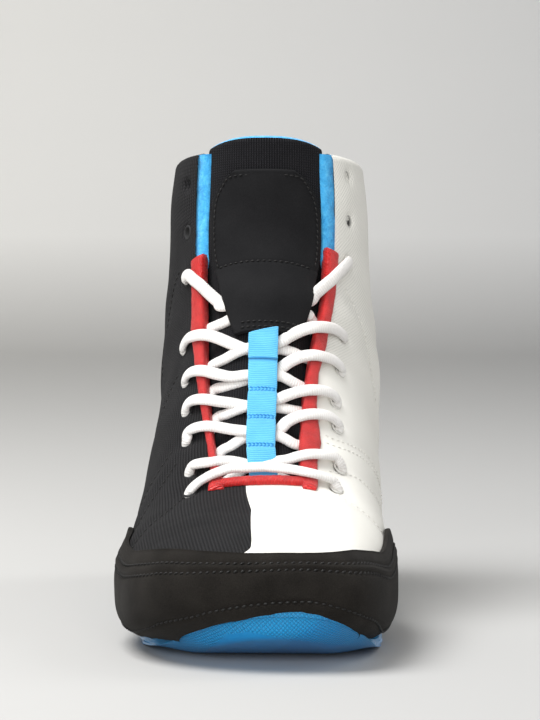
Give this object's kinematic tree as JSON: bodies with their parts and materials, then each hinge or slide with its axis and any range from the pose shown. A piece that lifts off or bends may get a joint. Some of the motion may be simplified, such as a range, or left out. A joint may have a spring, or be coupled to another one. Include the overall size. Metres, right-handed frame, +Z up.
{
  "type": "wrestling_shoe",
  "caption": "High-top wrestling shoe, right foot, black knit and off-white synthetic upper, black suede toe cap, blue rubber sole, white laces",
  "frame": {"origin": "on the floor, under the middle of the shoe's box", "axes": "+Z up, -Y to the toe, +X to the inner side of the right foot"},
  "size_m": [0.1018, 0.2806, 0.1818],
  "materials": {
    "outsole_rubber": "glossy",
    "insole_foam": "matte",
    "upper_cloth": "matte",
    "toe_suede": "matte",
    "piping_satin": "satin",
    "tongue_knit": "matte",
    "tab_suede": "matte",
    "keeper_webbing": "satin",
    "lace_cotton": "matte"
  },
  "bodies": {
    "root": {"outsole": "outsole_rubber", "insole": "insole_foam", "upper": "upper_cloth", "toe_cap": "toe_suede", "throat_piping": "piping_satin", "tongue": "tongue_knit", "tongue_tab": "tab_suede", "lace_keeper": "keeper_webbing", "laces": "lace_cotton"}
  },
  "joints": []
}
